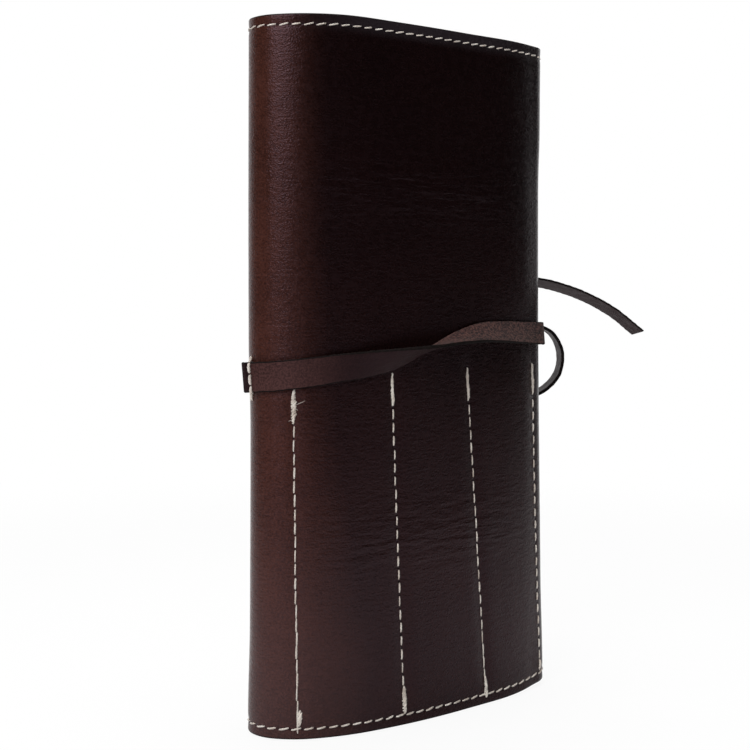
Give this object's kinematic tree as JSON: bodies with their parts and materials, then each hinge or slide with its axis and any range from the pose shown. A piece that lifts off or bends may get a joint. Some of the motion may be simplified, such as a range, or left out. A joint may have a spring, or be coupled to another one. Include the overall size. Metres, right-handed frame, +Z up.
{
  "type": "crochet hook case",
  "caption": "Upright three-fold leather case for crochet hooks, with rows of sewn hook pockets inside its covers and a flat leather tie wrapped around it.",
  "frame": {"origin": "the middle of the closed case's footprint, on the surface that it stands on", "axes": "+Z up, front cover facing -Y, spine at -X and far fold at +X"},
  "size_m": [0.1472, 0.0449, 0.2],
  "materials": {
    "cover_leather": "smooth dark brown grain leather, satin",
    "pocket_leather": "brown leather, flesh side, matt",
    "tie_leather": "dark brown thong, grain on one side and suede on the other",
    "thread": "cream waxed sewing thread"
  },
  "bodies": {
    "back_cover": {"back_cover": "cover_leather", "back_pocket_panel_1": "pocket_leather", "back_pocket_panel_2": "pocket_leather", "back_pocket_panel_3": "pocket_leather", "back_facing": "pocket_leather", "back_top_thread": "thread", "back_bottom_thread": "thread", "back_seam_thread_1": "thread", "back_seam_thread_2": "thread", "back_seam_thread_3": "thread", "back_seam_thread_4": "thread", "tie_back_root": "tie_leather"},
    "front_cover": {"front_cover": "cover_leather", "front_pocket_panel_1": "pocket_leather", "front_pocket_panel_2": "pocket_leather", "front_pocket_panel_3": "pocket_leather", "front_facing": "pocket_leather", "front_top_thread": "thread", "front_bottom_thread": "thread", "front_seam_thread_1": "thread", "front_seam_thread_2": "thread", "front_seam_thread_3": "thread", "front_seam_thread_4": "thread", "tie_sewn_part": "tie_leather", "tie_tack_thread": "thread"},
    "inner_flap": {"inner_flap": "cover_leather", "flap_facing": "pocket_leather", "flap_top_thread": "thread", "flap_bottom_thread": "thread"},
    "tie_front_tail": {"tie_front_tail": "tie_leather"},
    "tie_back_tail": {"tie_back_tail": "tie_leather"}
  },
  "joints": [
    {"name": "cover_open", "type": "hinge", "parent": "back_cover", "child": "front_cover", "pos_m": [-0.05234, 0.00253, 0.1], "axis": [0, 0, -1], "range_deg": [0, 165]},
    {"name": "flap_unfold", "type": "hinge", "parent": "front_cover", "child": "inner_flap", "pos_m": [0.05164, -0.0046, 0.1], "axis": [0, 0, -1], "range_deg": [0, 155]},
    {"name": "front_tail_unwrap", "type": "hinge", "parent": "front_cover", "child": "tie_front_tail", "pos_m": [-0.05028, -0.00335, 0.0995], "axis": [0, 0, -1], "range_deg": [0, 75]},
    {"name": "back_tail_unwrap", "type": "hinge", "parent": "back_cover", "child": "tie_back_tail", "pos_m": [-0.04389, 0.01379, 0.1], "axis": [0, 0, 1], "range_deg": [0, 75]}
  ],
  "couplings": [
    {"joint": "flap_unfold", "follows": "cover_open", "ratio": 0.9}
  ]
}
